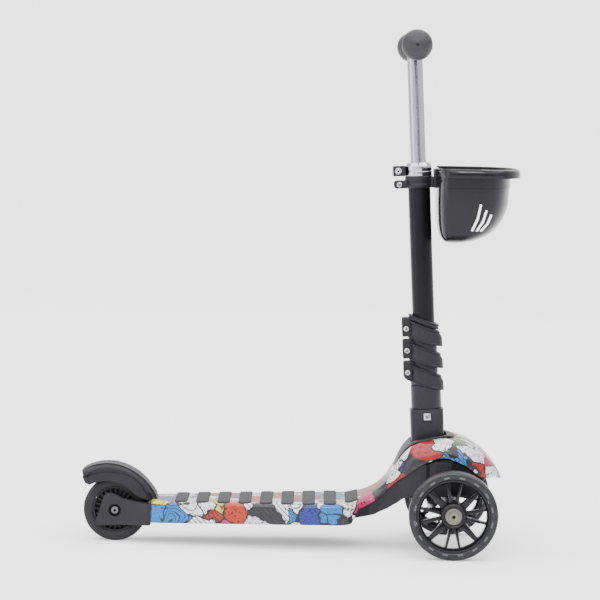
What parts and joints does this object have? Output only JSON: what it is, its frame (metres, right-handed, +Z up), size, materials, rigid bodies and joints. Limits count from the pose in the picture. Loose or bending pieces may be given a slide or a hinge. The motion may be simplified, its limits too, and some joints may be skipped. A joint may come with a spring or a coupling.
{
  "type": "three-wheel kick scooter",
  "caption": "Lean-to-steer kick scooter for a small child, with two front wheels, a braked rear wheel, a padded deck, a height-adjustable T-bar and a front basket.",
  "frame": {"origin": "middle of the footprint on the ground", "axes": "+X forwards, +Y to the rider's left, +Z up"},
  "size_m": [0.5934, 0.268, 0.7085],
  "materials": {
    "printed_plastic": "printed, satin",
    "black_plastic": "satin",
    "gloss_black_plastic": "gloss",
    "black_paint": "satin",
    "grey_rubber": "matt, ribbed",
    "black_rubber": "matt",
    "smoke_tyre": "smoky translucent",
    "bright_steel": "zinc plated",
    "alloy": "anodised, satin"
  },
  "bodies": {
    "deck": {"deck_shell": "printed_plastic", "lower_chassis": "black_plastic", "slot_trim": "black_plastic", "deck_pad_1": "grey_rubber", "deck_pad_2": "grey_rubber", "deck_pad_3": "grey_rubber", "deck_pad_4": "grey_rubber", "deck_pad_5": "grey_rubber", "deck_pad_6": "grey_rubber", "deck_pad_7": "grey_rubber", "deck_pad_8": "grey_rubber", "deck_pad_9": "grey_rubber", "rear_fork": "black_plastic", "rear_axle_bolt": "bright_steel", "rear_axle_nut": "bright_steel", "brake_hinge_pin": "black_paint", "brake_return_spring": "bright_steel", "front_beam": "black_plastic", "kingpin_left": "bright_steel", "kingpin_right": "bright_steel", "lean_pivot_pin": "bright_steel", "centring_spring_left": "bright_steel", "centring_spring_right": "bright_steel"},
    "column": {"lean_block": "black_plastic", "column_tube": "black_paint", "column_socket": "black_plastic", "socket_screw": "bright_steel", "lower_tube": "black_plastic", "clamp_sleeve": "black_plastic", "sleeve_bolt_1": "bright_steel", "sleeve_bolt_2": "bright_steel", "sleeve_bolt_3": "bright_steel", "height_collar": "alloy", "collar_lug": "black_plastic", "collar_bolt": "bright_steel", "basket_clamp": "black_plastic", "basket_clamp_bolt": "bright_steel", "basket": "gloss_black_plastic", "basket_screw": "bright_steel"},
    "handlebar": {"tbar_stem": "alloy", "crossbar": "alloy", "grip_left": "black_rubber", "grip_right": "black_rubber"},
    "tie_rod": {"tie_rod": "bright_steel"},
    "knuckle_left": {"knuckle_left": "black_plastic", "front_axle_left": "bright_steel"},
    "knuckle_right": {"knuckle_right": "black_plastic", "front_axle_right": "bright_steel"},
    "front_wheel_left": {"front_wheel_core_left": "black_plastic", "front_tyre_left": "smoke_tyre", "front_bearings_left": "bright_steel"},
    "front_wheel_right": {"front_wheel_core_right": "black_plastic", "front_tyre_right": "smoke_tyre", "front_bearings_right": "bright_steel"},
    "rear_wheel": {"rear_wheel_core": "black_plastic", "rear_tyre": "black_rubber", "rear_bearings": "bright_steel"},
    "brake": {"brake_fender": "black_plastic", "brake_tread": "black_rubber", "brake_shoe": "black_rubber"}
  },
  "joints": [
    {"name": "column_lean", "type": "hinge", "parent": "deck", "child": "column", "pos_m": [0.18159, 0, 0.1], "axis": [1, 0, 0], "range_deg": [-12, 12], "stiffness_Nm_per_rad": 16, "deforming": ["centring_spring_left", "centring_spring_right"]},
    {"name": "tbar_height", "type": "slide", "parent": "column", "child": "handlebar", "axis": [-0.057, 0, 0.9984], "range_m": [-0.12, 0.06]},
    {"name": "tie_rod_slide", "type": "slide", "parent": "deck", "child": "tie_rod", "axis": [0, 1, 0], "range_m": [-0.0066, 0.0066]},
    {"name": "steer_left", "type": "hinge", "parent": "deck", "child": "knuckle_left", "pos_m": [0.21159, 0.084, 0.06], "axis": [0, 0, 1], "range_deg": [-13.5, 13.5]},
    {"name": "steer_right", "type": "hinge", "parent": "deck", "child": "knuckle_right", "pos_m": [0.21159, -0.084, 0.06], "axis": [0, 0, 1], "range_deg": [-13.5, 13.5]},
    {"name": "front_wheel_left_spin", "type": "hinge", "parent": "knuckle_left", "child": "front_wheel_left", "pos_m": [0.21159, 0.115, 0.06], "axis": [0, 1, 0], "continuous": true},
    {"name": "front_wheel_right_spin", "type": "hinge", "parent": "knuckle_right", "child": "front_wheel_right", "pos_m": [0.21159, -0.115, 0.06], "axis": [0, 1, 0], "continuous": true},
    {"name": "rear_wheel_spin", "type": "hinge", "parent": "deck", "child": "rear_wheel", "pos_m": [-0.24901, 0, 0.044], "axis": [0, 1, 0], "continuous": true},
    {"name": "brake_press", "type": "hinge", "parent": "deck", "child": "brake", "pos_m": [-0.20101, 0, 0.066], "axis": [0, -1, 0], "range_deg": [0, 6], "stiffness_Nm_per_rad": 3, "springref_deg": -8.59}
  ],
  "couplings": [
    {"joint": "tie_rod_slide", "follows": "column_lean", "m_per_rad": 0.031},
    {"joint": "steer_left", "follows": "column_lean", "ratio": -1.1071},
    {"joint": "steer_right", "follows": "column_lean", "ratio": -1.1071}
  ]
}
